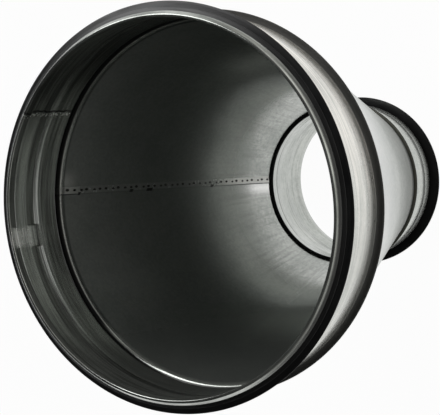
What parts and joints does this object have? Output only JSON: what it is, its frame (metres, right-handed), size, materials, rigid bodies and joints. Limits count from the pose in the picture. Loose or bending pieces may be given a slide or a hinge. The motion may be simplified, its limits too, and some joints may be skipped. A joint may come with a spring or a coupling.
{
  "type": "duct reducer",
  "caption": "Conical sheet-steel duct reducer with a roll-formed spigot collar at each end and a lipped rubber seal clamped round each mouth.",
  "frame": {"origin": "centre of the small mouth's rim plane, on the axis, where the part stands", "axes": "+Z along the axis from the small mouth to the large one; +X and +Y square to it, with the cone's welded lap on -X"},
  "size_m": [0.33, 0.33, 0.4],
  "materials": {
    "galvanised_steel": "hot-dip galvanised, satin, with a fine spangle",
    "seal_rubber": "matte black seal rubber"
  },
  "bodies": {
    "root": {"cone": "galvanised_steel", "large_collar": "galvanised_steel", "small_collar": "galvanised_steel", "large_gasket": "seal_rubber", "small_gasket": "seal_rubber"}
  },
  "joints": []
}
